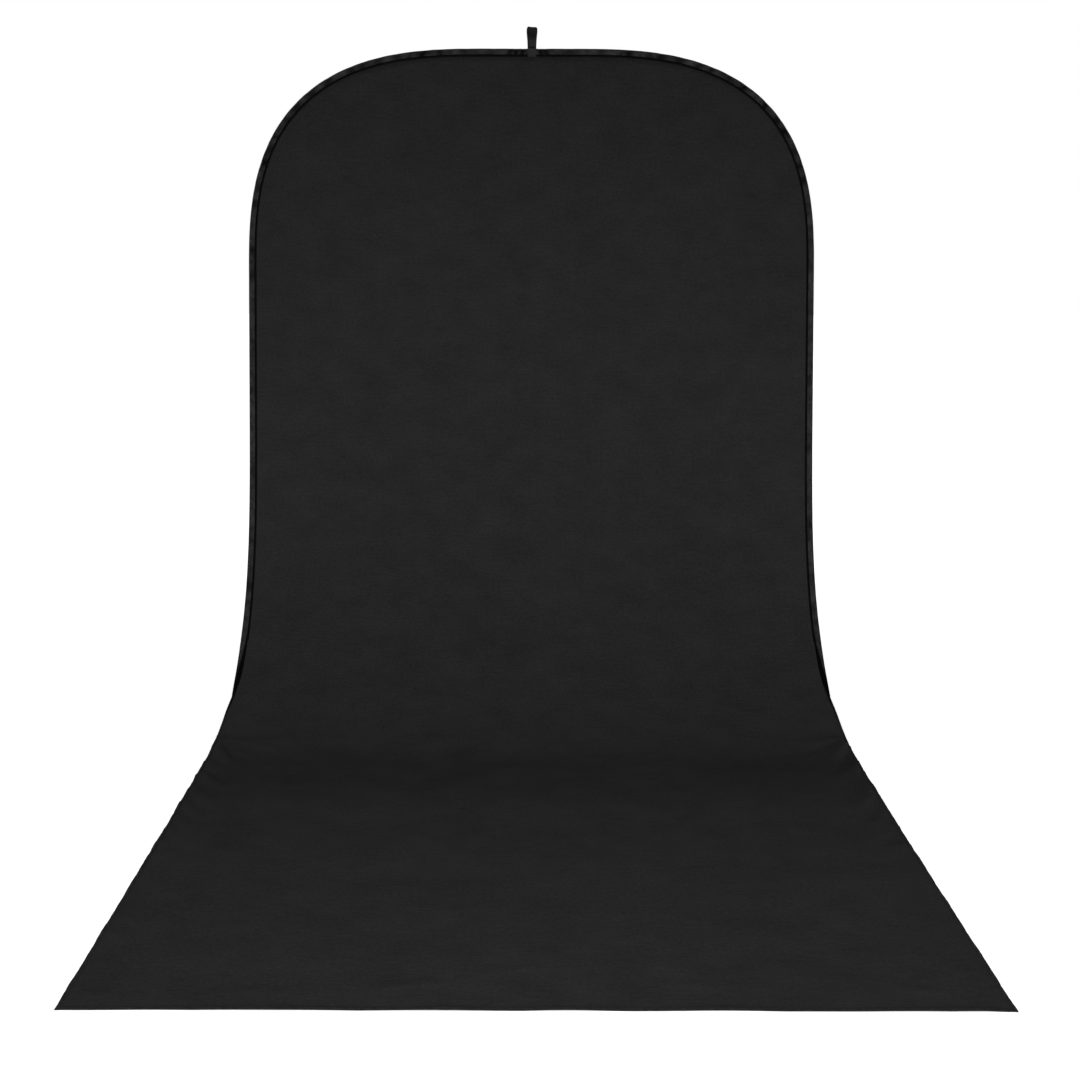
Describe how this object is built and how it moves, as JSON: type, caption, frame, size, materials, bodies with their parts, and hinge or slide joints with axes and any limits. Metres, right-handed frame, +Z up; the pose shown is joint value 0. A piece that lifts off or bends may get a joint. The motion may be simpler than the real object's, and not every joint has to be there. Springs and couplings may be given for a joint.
{
  "type": "collapsible cloth photo background",
  "caption": "Black cloth photo background on a sprung steel hoop, with a cove, a floor train and a webbing hang loop.",
  "frame": {"origin": "centre of the footprint, on the floor that the train lies on", "axes": "+X across the cloth to the right as the sitter's side sees it, -Y forward along the train, +Z up"},
  "size_m": [2.44, 2.9618, 2.7898],
  "materials": {
    "brushed_cotton": "matte",
    "casing_cloth": "matte",
    "webbing": "matte",
    "thread": "satin",
    "spring_steel": "satin",
    "sleeve_steel": "satin",
    "rivet_steel": "satin",
    "cloth_tape": "matte"
  },
  "bodies": {
    "root": {"cloth_panel": "brushed_cotton", "edge_casing": "casing_cloth", "casing_seam": "thread", "hoop_band": "spring_steel", "splice_sleeve": "sleeve_steel", "splice_rivets": "rivet_steel", "splice_tape": "cloth_tape", "casing_lap": "casing_cloth", "side_hem_left": "brushed_cotton", "side_hem_right": "brushed_cotton", "side_hem_stitching": "thread", "loop_tails": "webbing", "loop_stitching": "thread"},
    "train": {"train_cloth": "brushed_cotton", "train_hem_left": "brushed_cotton", "train_hem_right": "brushed_cotton", "front_hem": "brushed_cotton", "train_hem_stitching": "thread"},
    "hang_loop": {"hang_loop_eye": "webbing", "neck_bartack": "thread"}
  },
  "joints": [
    {"name": "train_fold", "type": "hinge", "parent": "root", "child": "train", "pos_m": [0, -0.45093, 0.003], "axis": [-1, 0, 0], "range_deg": [0, 135]},
    {"name": "loop_swing", "type": "hinge", "parent": "root", "child": "hang_loop", "pos_m": [0, 1.46633, 2.70982], "axis": [1, 0, 0], "range_deg": [-75, 75]}
  ]
}
